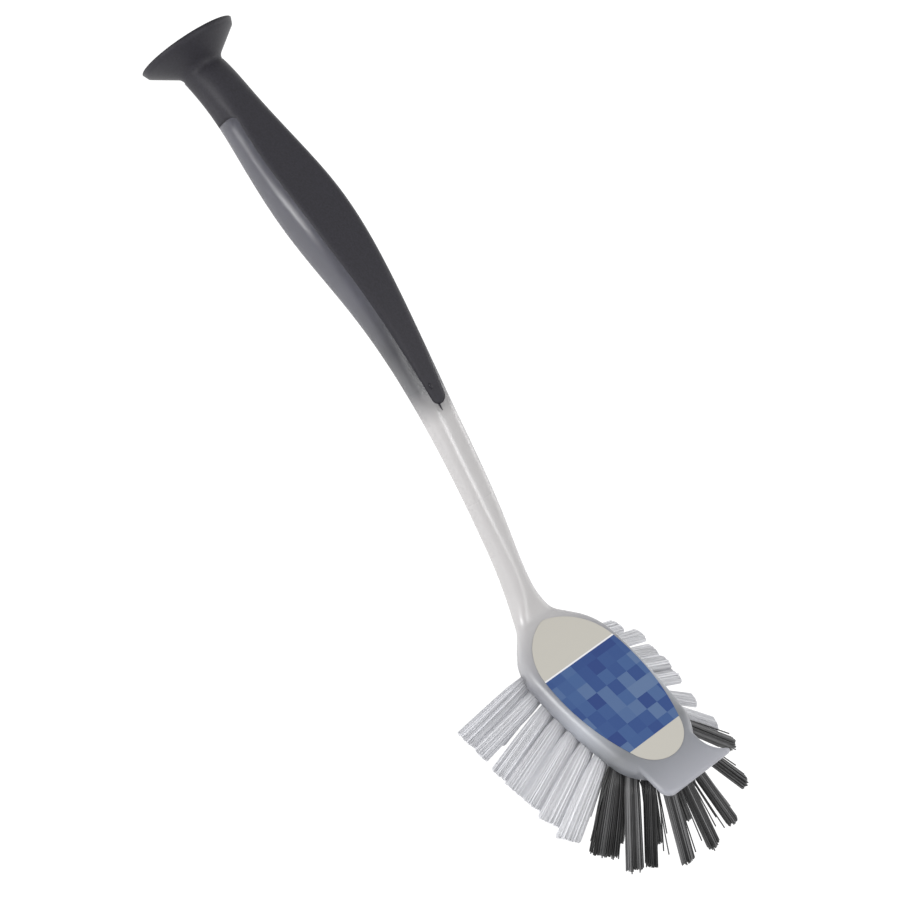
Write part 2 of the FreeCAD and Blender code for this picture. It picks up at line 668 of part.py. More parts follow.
def add_fusion(name, pieces):
    fusion = doc.addObject("Part::MultiFuse", name)
    fusion.Shapes = pieces
    fusion.Refine = True
    return fusion


tongue_zone = add_boolean("Common", "TongueZone", inlay, upper)
rubber_zone = add_fusion("RubberZone", [tongue_zone, wrap])
rubber_part = add_boolean("Common", "RubberPart", handle_form, rubber_zone)
rubber_skin = add_boolean("Cut", "RubberSkin", rubber_part, handle_core)

# Suction cup: turned about its own axis, with a waisted back, a flat ring to seat on and a hollow face.
cup = doc.addObject("PartDesign::Body", "SuctionCup")
cup.setExpression("Placement", turned_placement(CUP_PLACE, turn_text("0; 1; 0", "Sizes.cup_angle - 90")))
cup_sketch = new_sketch(cup, "CupProfile", XZ_PLANE)
neck_radius = size("cup_neck") / 2
flare_radius = size("cup_flare_radius")
flare_centre = point(neck_radius + flare_radius, 0)
back_corner = point(size("cup_back_diameter") / 2, size("cup_height") - size("cup_edge"))
rim_corner = point(size("cup_diameter") / 2, size("cup_height"))
mouth_corner = point(size("cup_mouth") / 2, size("cup_height"))
hollow_foot = point(0, size("cup_height") - size("cup_depth"))
hollow_radius = (mouth_corner.x**2 + size("cup_depth") ** 2) / (2 * size("cup_depth"))
hollow_centre = point(0, hollow_foot.y + hollow_radius)
to_mouth = mouth_corner - hollow_centre
mouth_angle = math.degrees(math.atan2(to_mouth.y, to_mouth.x)) % 360
flare_angle = touching_angle(back_corner, 0, flare_centre, flare_radius) % 360
neck_edge = point(neck_radius, 0)
axis_foot = point(0, 0)
neck_line = add_line(cup_sketch, axis_foot, neck_edge)
cup_flare = add_arc(cup_sketch, flare_centre, flare_radius, flare_angle, 180)
back_line = add_line(cup_sketch, polar(flare_centre, flare_radius, flare_angle), back_corner)
edge_line = add_line(cup_sketch, back_corner, rim_corner)
ring_line = add_line(cup_sketch, rim_corner, mouth_corner)
hollow = add_arc(cup_sketch, hollow_centre, hollow_radius, 270, mouth_angle)
axis_line = add_line(cup_sketch, hollow_foot, axis_foot)
fix(cup_sketch, "Coincident", neck_line, START, *ORIGIN)
fix(cup_sketch, "Horizontal", neck_line)
fix(cup_sketch, "Coincident", neck_line, END, cup_flare, END)
fix(cup_sketch, "PointOnObject", cup_flare, CENTRE, LEVEL_AXIS)
fix(cup_sketch, "Tangent", cup_flare, START, back_line, START)
fix(cup_sketch, "Coincident", back_line, END, edge_line, START)
fix(cup_sketch, "Coincident", edge_line, END, ring_line, START)
fix(cup_sketch, "Coincident", ring_line, END, hollow, END)
fix(cup_sketch, "Coincident", hollow, START, axis_line, START)
fix(cup_sketch, "Coincident", axis_line, END, *ORIGIN)
fix(cup_sketch, "Vertical", axis_line)
fix(cup_sketch, "Horizontal", ring_line)
fix(cup_sketch, "PointOnObject", hollow, CENTRE, UPRIGHT_AXIS)
bind(cup_sketch, "Sizes.cup_neck / 2", "DistanceX", *ORIGIN, neck_line, END)
bind(cup_sketch, "Sizes.cup_flare_radius", "Radius", cup_flare)
bind(cup_sketch, "Sizes.cup_back_diameter / 2", "DistanceX", *ORIGIN, back_line, END)
bind(cup_sketch, "Sizes.cup_height - Sizes.cup_edge", "DistanceY", *ORIGIN, back_line, END)
bind(cup_sketch, "Sizes.cup_diameter / 2", "DistanceX", *ORIGIN, edge_line, END)
bind(cup_sketch, "Sizes.cup_height", "DistanceY", *ORIGIN, edge_line, END)
bind(cup_sketch, "Sizes.cup_mouth / 2", "DistanceX", *ORIGIN, ring_line, END)
bind(cup_sketch, "Sizes.cup_height - Sizes.cup_depth", "DistanceY", *ORIGIN, hollow, START)
cup_turned = cup.newObject("PartDesign::Revolution", "CupTurned")
cup_turned.Profile = cup_sketch
cup_turned.ReferenceAxis = (cup_sketch, ["V_Axis"])
cup_turned.Angle = 360

# Rows of tufts: each place is a hole's mouth on the underside, with the way the tuft leaves it.
outer_inset = sheet.evalExpression(BEVEL_WIDTH) / 2
outer_height = -size("plate_thickness") + sheet.evalExpression(BEVEL_HEIGHT) / 2
plate_side_centre, plate_side_radius = side_circle("plate")
plate_nose_centre, plate_nose_radius = nose_circle("plate")
to_nose = plate_nose_centre - plate_side_centre
nose_joint = math.degrees(math.atan2(to_nose.x, to_nose.y))


def row_place(inset, back, share):
    # Place on a half row, from its rear start at share 0, along the side and round the nose to share 1.
    side = plate_side_radius - inset
    nose = plate_nose_radius - inset
    start = math.degrees(math.asin((back + plate_side_centre.x) / side))
    side_length = side * math.radians(start + nose_joint)
    nose_length = nose * math.radians(90 - nose_joint)
    distance = share * (side_length + nose_length)
    if distance < side_length:
        return polar(plate_side_centre, side, 90 + start - math.degrees(distance / side))
    turn = nose_joint + math.degrees((distance - side_length) / nose)
    return polar(plate_nose_centre, nose, 90 - turn)


def tuft_frame(mouth, heading, splay, hand):
    # Frame on the hole's floor: Z along the tuft, X level and across it.
    along = Vector(sine(splay) * sine(heading), hand * sine(splay) * cosine(heading), -cosine(splay))
    across = Vector(cosine(heading), -hand * sine(heading), 0)
    return Placement(mouth - along * size("hole_depth"), Rotation(across, Vector(), along, "ZXY"))


tufts = []
hole_tools = []
anchors = []


def add_anchor_box(name, width):
    # Flat anchor, or the slot that it fills, across the tuft's root and a little above the hole's floor.
    box = doc.addObject("Part::Box", name)
    box.setExpression("Length", width)
    box.setExpression("Width", "Sizes.anchor_thickness")
    box.setExpression("Height", "Sizes.anchor_height")
    half_width = sheet.evalExpression(width) / 2
    box.Placement.Base = Vector(-half_width, -size("anchor_thickness") / 2, size("anchor_lift"))
    return box


def add_tuft(name, frame, length, spread):
    # A tuft: its folded root fills the hole, and the free bundle flares to the trimmed end.
    root_radius = "Sizes.hole_diameter / 2 - Sizes.tuft_clearance"
    tip_height = f"(Sizes.hole_depth + {length})"
    tip_radius = f"{spread} / 2"
    rings = [("0", root_radius), ("Sizes.hole_depth", root_radius), (tip_height, tip_radius)]
    sections = []
    for number, (height, radius) in enumerate(rings):
        ring = doc.addObject("Part::RegularPolygon", f"{name}_ring_{number}")
        ring.Polygon = TUFT_SIDES
        ring.setExpression("Circumradius", radius)
        ring.setExpression("Placement.Base.z", height)
        sections.append(ring)
    bundle = add_loft(f"{name}_bundle", sections, True)
    slot = add_anchor_box(f"{name}_slot", "Sizes.hole_diameter")
    tuft = add_boolean("Cut", name, bundle, slot)
    hole = doc.addObject("Part::Cylinder", f"{name}_hole")
    hole.setExpression("Radius", "Sizes.hole_diameter / 2")
    hole.setExpression("Height", "2 * Sizes.hole_depth")
    hole.Placement = frame
    hole_tools.append(hole)
    anchor = add_anchor_box(f"{name}_anchor", "Sizes.anchor_width")
    anchor.Placement = frame * anchor.Placement
    anchors.append(anchor)
    tip_centre = Vector(0, 0, sheet.evalExpression(tip_height))
    corners = [k * 360 / TUFT_SIDES for k in range(TUFT_SIDES)]
    tips = [polar(tip_centre, sheet.evalExpression(tip_radius), corner) for corner in corners]
    tufts.append((tuft, frame, [frame.multVec(tip) for tip in tips]))


HANDS = {"left": 1, "right": -1}


def add_half_row(row, hand_name, inset, back, height, splays, spreads):
    # One side of a row, from the rear round to the nose, white first and then black.
    hand = HANDS[hand_name]
    white_count = int(size(f"{row}_white_count"))
    count = white_count + int(size(f"{row}_black_count"))
    for number in range(count):
        shade = "white" if number < white_count else "black"
        share = number / (count - 0.5)
        place = row_place(inset, back, share)
        heading = 90 * share ** size("fan_power")
        frame = tuft_frame(Vector(place.x, hand * place.y, height), heading, size(splays[shade]), hand)
        name = f"{row}_{shade}_tuft_{hand_name}_{number + 1}"
        add_tuft(name, frame, f"Sizes.{row}_{shade}_length", f"Sizes.{spreads[shade]}")


OUTER_SPLAYS = {"white": "outer_splay", "black": "outer_splay"}
OUTER_SPREADS = {"white": "outer_white_spread", "black": "outer_black_spread"}
INNER_SPLAYS = {"white": "inner_white_splay", "black": "inner_black_splay"}
INNER_SPREADS = {"white": "inner_spread", "black": "inner_spread"}
underside = -size("plate_thickness")
for hand_name in HANDS:
    add_half_row(
        "outer", hand_name, outer_inset, size("outer_back"), outer_height, OUTER_SPLAYS, OUTER_SPREADS
    )
    add_half_row(
        "inner", hand_name, size("inner_inset"), size("inner_back"), underside, INNER_SPLAYS, INNER_SPREADS
    )
middle_white_count = int(size("middle_white_count"))
for number in range(middle_white_count + int(size("middle_black_count"))):
    shade = "white" if number < middle_white_count else "black"
    x = number * size("middle_pitch") - size("middle_back")
    frame = tuft_frame(Vector(x, 0, underside), 0, 0, 1)
    add_tuft(f"middle_{shade}_tuft_{number + 1}", frame, "Sizes.middle_length", "Sizes.inner_spread")

# How the brush lies: tipped back until the cup's rim and the lowest bristle tips are at one height.
cup_turn = Rotation(Y_AXIS, size("cup_angle") - 90)
cup_start = Vector(sheet.evalExpression(CUP_PLACE[0]), 0, sheet.evalExpression(CUP_PLACE[1]))
rim_centre = cup_start + cup_turn.multVec(Vector(0, 0, size("cup_height")))
rim_radius = size("cup_diameter") / 2
rim_foot = rim_centre + cup_turn.multVec(Vector(-rim_radius, 0, 0))
tips = [tip for _, _, corners in tufts for tip in corners]
tilt = max(math.degrees(math.atan2(rim_foot.z - tip.z, tip.x - rim_foot.x)) for tip in tips)
tip_back = Rotation(Y_AXIS, -tilt)
rim_axis = tip_back.multVec(cup_turn.multVec(Z_AXIS))
rear_end = tip_back.multVec(rim_centre).x - rim_radius * math.sqrt(1 - rim_axis.x**2)
front_end = max(tip_back.multVec(tip).x for tip in tips)
table = tip_back.multVec(rim_foot).z
lying = Placement(Vector(-(rear_end + front_end) / 2, 0, -table), tip_back)

# Finished pieces.
pieces = []


def finish(node, name):
    piece_placement = lying * node.Placement
    node.Label = name
    node.Placement = piece_placement
    pieces.append(node)


body_form = add_fusion("BodyForm", [handle_form, plate, tab])
seated_form = add_boolean("Cut", "SeatedForm", body_form, rubber_skin)
hole_group = doc.addObject("Part::Compound", "TuftHoles")
hole_group.Links = hole_tools
drilled_form = add_boolean("Cut", "DrilledForm", seated_form, hole_group)
anchor_group = doc.addObject("Part::Compound", "TuftAnchors")
anchor_group.Links = anchors
brush_body = add_boolean("Cut", "BrushBody", drilled_form, anchor_group)
finish(brush_body, "brush_body")

grip = add_fusion("Grip", [rubber_skin, cup])
finish(grip, "grip")

# Label: a thin film inside the plate's rounded edge, with the same outline and a rounded narrow end.
label = doc.addObject("PartDesign::Body", "Label")
label_sketch = new_sketch(label, "LabelOutline", XY_PLANE)
end_radius = size("label_end_radius")
rear_centre, rear_radius = rear_circle("label")
end_offset = math.sqrt((rear_radius - end_radius) ** 2 - rear_centre.y**2)
end_centre = point(rear_centre.x - end_offset, 0)
to_end = end_centre - rear_centre
end_angle = math.degrees(math.atan2(to_end.y, to_end.x))
label_tip = draw_egg(label_sketch, "label", end_angle)
end_arc = add_arc(label_sketch, end_centre, end_radius, end_angle, 180)
label_middle = add_line(label_sketch, polar(end_centre, end_radius, 180), label_tip)
fix(label_sketch, "Tangent", REAR, END, end_arc, START)
fix(label_sketch, "Coincident", end_arc, END, label_middle, START)
fix(label_sketch, "Coincident", label_middle, END, NOSE, START)
fix(label_sketch, "PointOnObject", end_arc, CENTRE, LEVEL_AXIS)
fix(label_sketch, "PointOnObject", label_middle, START, LEVEL_AXIS)
fix(label_sketch, "PointOnObject", label_middle, END, LEVEL_AXIS)
bind(label_sketch, "Sizes.label_end_radius", "Radius", end_arc)
label_pad = add_pad(label, "LabelPad", label_sketch, "Sizes.label_thickness", False)
add_mirror(label, "LabelMirror", label_pad)
finish(label, "label")

for tuft, frame, _ in tufts:
    tuft.Placement = frame
    finish(tuft, tuft.Name)
finish(anchor_group, "tuft_anchors")
doc.recompute()

# Nothing is written unless every object built and every piece is a sound solid.
for item in doc.Objects:
    if {"Invalid", "Error"} & set(item.State):
        raise RuntimeError(f"{item.Name} did not build: {item.State}")
for piece in pieces:
    if piece.Shape.isNull() or not piece.Shape.isValid():
        raise RuntimeError(f"{piece.Label} is not a sound solid")
os.makedirs("parts", exist_ok=True)
for piece in pieces:
    piece.Shape.exportStep(f"parts/{piece.Label}.step")
    print(piece.Label, len(piece.Shape.Solids), round(piece.Shape.Volume, 1))
print("lies tipped back by", round(tilt, 4), "degrees, head at", lying.Base)
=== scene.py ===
import math
import random

import bmesh
import bpy
import numpy
from mathutils import Euler, Matrix, Vector


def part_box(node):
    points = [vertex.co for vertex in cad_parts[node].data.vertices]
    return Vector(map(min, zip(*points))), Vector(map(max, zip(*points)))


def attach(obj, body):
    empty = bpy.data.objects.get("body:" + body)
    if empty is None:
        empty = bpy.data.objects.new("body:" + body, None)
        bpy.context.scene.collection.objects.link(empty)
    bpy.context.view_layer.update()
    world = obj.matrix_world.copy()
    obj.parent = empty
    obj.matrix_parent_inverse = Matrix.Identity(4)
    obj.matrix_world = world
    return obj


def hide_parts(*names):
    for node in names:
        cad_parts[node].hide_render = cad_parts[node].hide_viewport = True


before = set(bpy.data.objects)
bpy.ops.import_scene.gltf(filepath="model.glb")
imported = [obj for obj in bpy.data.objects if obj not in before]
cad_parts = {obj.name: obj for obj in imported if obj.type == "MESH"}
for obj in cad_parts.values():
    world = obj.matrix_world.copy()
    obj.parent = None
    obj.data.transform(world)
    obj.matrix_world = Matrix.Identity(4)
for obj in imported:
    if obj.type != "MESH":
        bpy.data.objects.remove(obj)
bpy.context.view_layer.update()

# Brush body: head plate, scraper, neck and handle in one piece, which carries all the others.
# It is injection moulded from natural polypropylene, milky and a little see-through.
# The brush lies on its bristles and on the cup's rim, so its head slopes up towards the nose.
HEAD_TILT = math.radians(25.6929)
HEAD_PLACE = Vector((0.0921351, 0.0, 0.0381520))  # near the middle of the plate's flat top
HEAD_UP = Vector((-math.sin(HEAD_TILT), 0.0, math.cos(HEAD_TILT)))
HEAD_ALONG = Vector((math.cos(HEAD_TILT), 0.0, math.sin(HEAD_TILT)))
tongue_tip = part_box("grip")[1].x
nose_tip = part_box("brush_body")[1].x


def linear(colour):
    channels = [int(colour[place:place + 2], 16) / 255 for place in (1, 3, 5)]
    return [c / 12.92 if c <= 0.04045 else ((c + 0.055) / 1.055) ** 2.4 for c in channels] + [1.0]


def new_finish(name):
    material = bpy.data.materials.new(name)
    material.use_nodes = True
    return material, material.node_tree.nodes["Principled BSDF"]


def set_sockets(material, node, inputs):
    for name, value in inputs.items():
        if isinstance(value, bpy.types.NodeSocket):
            material.node_tree.links.new(value, node.inputs[name])
        else:
            node.inputs[name].default_value = value


def add_node(material, kind, inputs, stops=(), **settings):
    node = material.node_tree.nodes.new(kind)
    for name, value in settings.items():
        setattr(node, name, value)
    # A new ramp already has two stops, so the first two given are its ends and the rest go between.
    for number, (place, colour) in enumerate(stops):
        elements = node.color_ramp.elements
        stop = elements[number] if number < 2 else elements.new(place)
        stop.position = place
        stop.color = linear(colour)
    set_sockets(material, node, inputs)
    return node


def dress(node, material):
    cad_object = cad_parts[node]
    cad_object.data.materials.clear()
    cad_object.data.materials.append(material)


# Natural polypropylene, moulded in a satin tool: a soft sheen over a cloudy depth, glossiest on the handle.
# Its colour is painted along its length: grey where the dark rubber shows through, as far as the tongue's
# tip, then painted light and shade over the head, with lighter and darker bands where the rim is lit or
# shaded, and painted shade of the shadowed bristles at the nose.
# Its shoulders are rounder beside the tongue than they are on the neck and the head.
TINT_BEHIND = 0.06  # the grey starts this far behind the tongue's tip
CLOUD_SIZE = 0.012
SHOULDER_BEHIND, SHOULDER_AHEAD = 0.004, 0.01
HANDLE_SHOULDER, NECK_SHOULDER = 0.006, 0.0026
SATIN_FROM = 0.07  # the x where the head's own satin is reached
HANDLE_ROUGHNESS, HEAD_ROUGHNESS = 0.22, 0.36
milky_plastic, plastic_shader = new_finish("natural_polypropylene")
plastic_place = add_node(milky_plastic, "ShaderNodeTexCoord", {})
plastic_axes = add_node(milky_plastic, "ShaderNodeSeparateXYZ", {"Vector": plastic_place.outputs["Object"]})
plastic_run = add_node(milky_plastic, "ShaderNodeMapRange", {
    "Value": plastic_axes.outputs["X"],
    "From Min": tongue_tip - TINT_BEHIND, "From Max": nose_tip})
# Painted light and shade: past the neck the stops are lighter and darker bands for how the head's rim is
# lit, and the grey at the nose is painted shade.
plastic_tint_and_shade = add_node(milky_plastic, "ShaderNodeValToRGB", {"Fac": plastic_run.outputs["Result"]}, [
    (0.0, "#3d3d47"), (1.0, "#9a9ba2"),
    (0.1, "#3e3e48"), (0.2, "#313137"), (0.27, "#565659"), (0.33, "#b1afaf"), (0.66, "#b1afaf"),
    (0.77, "#7b7c82"), (0.85, "#979aa1"), (0.91, "#717377"), (0.95, "#7e8086")])
plastic_cloud = add_node(milky_plastic, "ShaderNodeTexNoise", {
    "Vector": plastic_place.outputs["Object"], "Scale": 1 / CLOUD_SIZE, "Detail": 2.0})
plastic_shoulder = add_node(milky_plastic, "ShaderNodeMapRange", {
    "Value": plastic_axes.outputs["X"],
    "From Min": tongue_tip - SHOULDER_BEHIND, "From Max": tongue_tip + SHOULDER_AHEAD,
    "To Min": HANDLE_SHOULDER, "To Max": NECK_SHOULDER})
plastic_edge = add_node(milky_plastic, "ShaderNodeBevel", {
    "Radius": plastic_shoulder.outputs["Result"]}, samples=12)
plastic_bump = add_node(milky_plastic, "ShaderNodeBump", {
    "Height": plastic_cloud.outputs["Fac"], "Normal": plastic_edge.outputs["Normal"],
    "Strength": 0.1, "Distance": 0.0003})
plastic_satin = add_node(milky_plastic, "ShaderNodeMapRange", {
    "Value": plastic_axes.outputs["X"],
    "From Min": tongue_tip, "From Max": SATIN_FROM,
    "To Min": HANDLE_ROUGHNESS, "To Max": HEAD_ROUGHNESS})
set_sockets(milky_plastic, plastic_shader, {
    "Base Color": plastic_tint_and_shade.outputs["Color"],
    "Normal": plastic_bump.outputs["Normal"],
    "Roughness": plastic_satin.outputs["Result"],
    "Specular IOR Level": 0.9,
    "IOR": 1.49,
    "Subsurface Weight": 0.6,
    "Subsurface Radius": (1.0, 1.0, 1.0),
    "Subsurface Scale": 0.002})

# The neck flows into the plate without a crease. A merged copy of the moulding is cut finely there,
# between two places along the head, and smoothed over a reach that narrows to the middle of the flow.
MERGE_GAP = 0.000002
CUT_GAP = 0.000001
FLOW_START, FLOW_END = -0.047, -0.0285
FLOW_STEP = 0.0008
STEPS_ASIDE, STEPS_UP = 18, 12
SMOOTHINGS = 40
SMOOTHING_SHARE = 0.5
NARROWING = 0.6
SHARP_EDGE = math.radians(32)
moulding = bmesh.new()
moulding.from_mesh(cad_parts["brush_body"].data)
bmesh.ops.remove_doubles(moulding, verts=moulding.verts, dist=MERGE_GAP)


def head_run(spot):
    return (spot - HEAD_PLACE).dot(HEAD_ALONG)


def flow_faces():
    chosen = []
    for face in moulding.faces:
        runs = [head_run(vert.co) for vert in face.verts]
        if max(runs) > FLOW_START and min(runs) < FLOW_END:
            chosen.append(face)
    return chosen


cuts = [(HEAD_PLACE + HEAD_ALONG * (FLOW_START + FLOW_STEP * step), HEAD_ALONG)
        for step in range(round((FLOW_END - FLOW_START) / FLOW_STEP) + 1)]
cuts += [(Vector((0.0, FLOW_STEP * step, 0.0)), Vector((0.0, 1.0, 0.0)))
         for step in range(-STEPS_ASIDE, STEPS_ASIDE + 1)]
cuts += [(HEAD_PLACE + HEAD_UP * FLOW_STEP * step, HEAD_UP) for step in range(-STEPS_UP, STEPS_UP)]
for place, way in cuts:
    faces = flow_faces()
    edges = {edge for face in faces for edge in face.edges}
    verts = {vert for face in faces for vert in face.verts}
    bmesh.ops.bisect_plane(moulding, geom=list(verts) + list(edges) + faces, dist=CUT_GAP,
                           plane_co=place, plane_no=way)
bmesh.ops.triangulate(moulding, faces=[face for face in moulding.faces if len(face.verts) > 4])
flow_middle = (FLOW_START + FLOW_END) / 2
flow_reach = (FLOW_END - FLOW_START) / 2
for number in range(SMOOTHINGS):
    reach = flow_reach * (1 - NARROWING * number / SMOOTHINGS)
    inside = [vert for vert in moulding.verts if abs(head_run(vert.co) - flow_middle) < reach]
    bmesh.ops.smooth_vert(moulding, verts=inside, factor=SMOOTHING_SHARE,
                          use_axis_x=True, use_axis_y=True, use_axis_z=True)
bmesh.ops.recalc_face_normals(moulding, faces=moulding.faces)
for face in moulding.faces:
    face.smooth = True
body_mesh = bpy.data.meshes.new("brush_moulding")
moulding.to_mesh(body_mesh)
moulding.free()
body_mesh.set_sharp_from_angle(angle=SHARP_EDGE)
body_mesh.materials.append(milky_plastic)
body = bpy.data.objects.new("brush_moulding", body_mesh)
bpy.context.collection.objects.link(body)
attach(body, "root")
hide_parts("brush_body")

# Grip: tongue, sleeve and suction cup in one shot of soft thermoplastic rubber.
# It is moulded over the end of the handle and bonds to it there.
GRAIN_SIZE = 0.0006
# Thermoplastic rubber, moulded in a spark-textured tool: near black and matt, with a dull sheen on its back.
# The real grain is finer than this one, which is as coarse as it needs to be to show.
soft_rubber, rubber_shader = new_finish("moulded_thermoplastic_rubber")
rubber_place = add_node(soft_rubber, "ShaderNodeTexCoord", {})
rubber_grain = add_node(soft_rubber, "ShaderNodeTexNoise", {
    "Vector": rubber_place.outputs["Object"], "Scale": 1 / GRAIN_SIZE, "Detail": 3.0})
rubber_tint = add_node(soft_rubber, "ShaderNodeValToRGB", {"Fac": rubber_grain.outputs["Fac"]}, [
    (0.3, "#29282c"), (0.7, "#302f35")])
rubber_edge = add_node(soft_rubber, "ShaderNodeBevel", {"Radius": 0.002}, samples=8)
rubber_bump = add_node(soft_rubber, "ShaderNodeBump", {
    "Height": rubber_grain.outputs["Fac"], "Normal": rubber_edge.outputs["Normal"],
    "Strength": 0.1, "Distance": 0.0002})
set_sockets(soft_rubber, rubber_shader, {
    "Base Color": rubber_tint.outputs["Color"],
    "Normal": rubber_bump.outputs["Normal"],
    "Roughness": 0.45,
    "Specular IOR Level": 0.2,
    "IOR": 1.48})
dress("grip", soft_rubber)

# Gate marks: what the mould's gate leaves where the rubber was shot in, at the tip of the grip's tongue.
# They are part of the grip's rubber: a short tail drawn out past the tip, and a small pip behind it.
TAIL_LENGTH = 0.0022
TAIL_PAST_TIP = 0.3  # the tail's middle lies this share of its length past the tip
TAIL_THICK, TAIL_THIN = 0.0004, 0.0001
TAIL_LEAN = 0.1
PIP_BEHIND = 0.0065
PIP_ASIDE = -0.0009
PIP_RADIUS = 0.0006
PIP_STRETCH = (1.8, 0.9, 0.9, 1.0)
ABOVE = 0.1  # a height over the whole brush, from which the spots are looked for
DOWN = (0.0, 0.0, -1.0)
gate = bmesh.new()
bmesh.ops.create_cone(gate, cap_ends=True, segments=10, radius1=TAIL_THICK, radius2=TAIL_THIN,
                      depth=TAIL_LENGTH)
tail_spot = (tongue_tip + TAIL_LENGTH * TAIL_PAST_TIP, PIP_ASIDE, ABOVE)
tail_place, tail_up = body.ray_cast(tail_spot, DOWN)[1:3]
tail_way = Vector((tail_up.z, TAIL_LEAN, -tail_up.x))
bmesh.ops.transform(gate, verts=gate.verts, matrix=Matrix.Translation(tail_place)
                    @ tail_way.to_track_quat("Z", "Y").to_matrix().to_4x4())
pip_spot = (tongue_tip - PIP_BEHIND, PIP_ASIDE, ABOVE)
pip_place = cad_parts["grip"].ray_cast(pip_spot, DOWN)[1]
bmesh.ops.create_uvsphere(gate, u_segments=16, v_segments=8, radius=PIP_RADIUS,
                          matrix=Matrix.Translation(pip_place) @ Matrix.Diagonal(PIP_STRETCH))
bmesh.ops.recalc_face_normals(gate, faces=gate.faces)
for face in gate.faces:
    face.smooth = True
gate_mesh = bpy.data.meshes.new("grip_gate_marks")
gate.to_mesh(gate_mesh)
gate.free()
# The same rubber, torn off at the gate: a little shinier, and with edges as small as the marks are.
gate_rubber = soft_rubber.copy()
gate_rubber.node_tree.nodes["Bevel"].inputs["Radius"].default_value = 0.0001
gate_rubber.node_tree.nodes["Principled BSDF"].inputs["Roughness"].default_value = 0.25
gate_mesh.materials.append(gate_rubber)
gate_marks = bpy.data.objects.new("grip_gate_marks", gate_mesh)
bpy.context.collection.objects.link(gate_marks)
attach(gate_marks, "root")

# Label: a thin printed film, die-cut to a long oval and stuck on the flat top of the head.
# A band of plain blue tiles crosses its middle, with a light line at its rear edge, and both ends are cream.
TILE = 0.0045
BAND_HALF = 0.0167
LINE_HALF = 0.00025
# Printed plastic film: even, opaque inks with a dull sheen, in blues that change from tile to tile.
label_film, film_shader = new_finish("printed_plastic_film")
film_place = add_node(label_film, "ShaderNodeTexCoord", {})
film_head = add_node(label_film, "ShaderNodeMapping", {
    "Vector": film_place.outputs["Object"],
    "Location": HEAD_PLACE, "Rotation": (0.0, -HEAD_TILT, 0.0)}, vector_type="TEXTURE")
film_cell = add_node(label_film, "ShaderNodeVectorMath", {
    0: film_head.outputs["Vector"], 1: (TILE, TILE, 1.0)}, operation="SNAP")
film_dice = add_node(label_film, "ShaderNodeTexWhiteNoise", {"Vector": film_cell.outputs["Vector"]})
film_tiles = add_node(label_film, "ShaderNodeValToRGB", {"Fac": film_dice.outputs["Value"]}, [
    (0.0, "#243a70"), (1.0, "#566b8c"), (0.35, "#2b4578"), (0.65, "#3a5582")])
film_axes = add_node(label_film, "ShaderNodeSeparateXYZ", {"Vector": film_head.outputs["Vector"]})
film_run = add_node(label_film, "ShaderNodeMath", {0: film_axes.outputs["X"]}, operation="ABSOLUTE")
film_band = add_node(label_film, "ShaderNodeMath", {
    0: film_run.outputs["Value"], 1: BAND_HALF}, operation="LESS_THAN")
film_line = add_node(label_film, "ShaderNodeMath", {
    0: film_axes.outputs["X"], 1: -BAND_HALF, 2: LINE_HALF}, operation="COMPARE")
# A Mix of colours has them at inputs 6 and 7, and the result at output 2.
film_ends = add_node(label_film, "ShaderNodeMix", {
    "Factor": film_band.outputs["Value"],
    6: linear("#b0ada5"), 7: film_tiles.outputs["Color"]}, data_type="RGBA")
film_print = add_node(label_film, "ShaderNodeMix", {
    "Factor": film_line.outputs["Value"],
    6: film_ends.outputs[2], 7: linear("#d5d5d8")}, data_type="RGBA")
set_sockets(label_film, film_shader, {
    "Base Color": film_print.outputs[2],
    "Roughness": 0.45,
    "Specular IOR Level": 0.3,
    "IOR": 1.5})
dress("label", label_film)

# Tuft anchors: one flat clip in each hole of the plate's underside, cut from drawn steel wire.
# It is punched in across the folded tuft, bites into the walls of the hole and so holds the tuft.
DRAWN_GRAIN = 0.0004
# Drawn steel: bright, with a gloss that the die left uneven, drawn coarser than it really is.
anchor_metal, anchor_shader = new_finish("drawn_steel")
anchor_place = add_node(anchor_metal, "ShaderNodeTexCoord", {})
anchor_grain = add_node(anchor_metal, "ShaderNodeTexNoise", {
    "Vector": anchor_place.outputs["Object"], "Scale": 1 / DRAWN_GRAIN})
anchor_gloss = add_node(anchor_metal, "ShaderNodeMapRange", {
    "Value": anchor_grain.outputs["Fac"], "To Min": 0.25, "To Max": 0.45})
set_sockets(anchor_metal, anchor_shader, {
    "Base Color": linear("#b9babc"),
    "Metallic": 1.0,
    "Roughness": anchor_gloss.outputs["Result"]})
dress("tuft_anchors", anchor_metal)

# Bristle tufts: bundles of straight polypropylene filaments, white along the sides and black round the nose.
# Each is folded into its hole, held by its anchor, fans out from the plate, and was trimmed after stapling.
# The real filaments are thinner and more numerous: these are as coarse as they need to be to show.
MM = 0.001
HOLE_DEPTH = 0.005
HOLE_SINK = 0.002  # the strands start this far inside the mouth of the hole
HOLE_HALF_WIDTH, HOLE_HALF_DEPTH = 0.0019, 0.0015
END_RING = 0.0006  # a tuft solid's points within this of its two ends make up its end rings
FAN_CURVE = 0.45
GOLDEN_ANGLE = 2.39996
NEARLY_SQUARE = 0.2
STRAND_SIDES, STRAND_CUTS = 5, 3
STRAND_JITTER = 0.0001
TRIM_SLANT = 0.0006
STRAY_SPREAD, STRAY_SHORT = 1.6, 0.006
TONE_WAVES, TONE_SPREAD = 6, 0.5
HEAD_TURN = Matrix.Rotation(-HEAD_TILT, 3, "Y")


def tuft_line(node):
    spots = numpy.array([tuple(v.co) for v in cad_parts[node].data.vertices])
    spots = numpy.unique(spots.round(6), axis=0)
    axis = numpy.linalg.svd(spots - spots.mean(0))[2][0]
    heights = spots @ axis
    ends = [spots[heights < heights.min() + END_RING], spots[heights > heights.max() - END_RING]]
    # A tuft is narrowest in its hole, so the smaller ring is its root.
    ends.sort(key=lambda ring: numpy.linalg.norm(ring - ring.mean(0), axis=1).max())
    return [Vector(ring.mean(0)) for ring in ends]


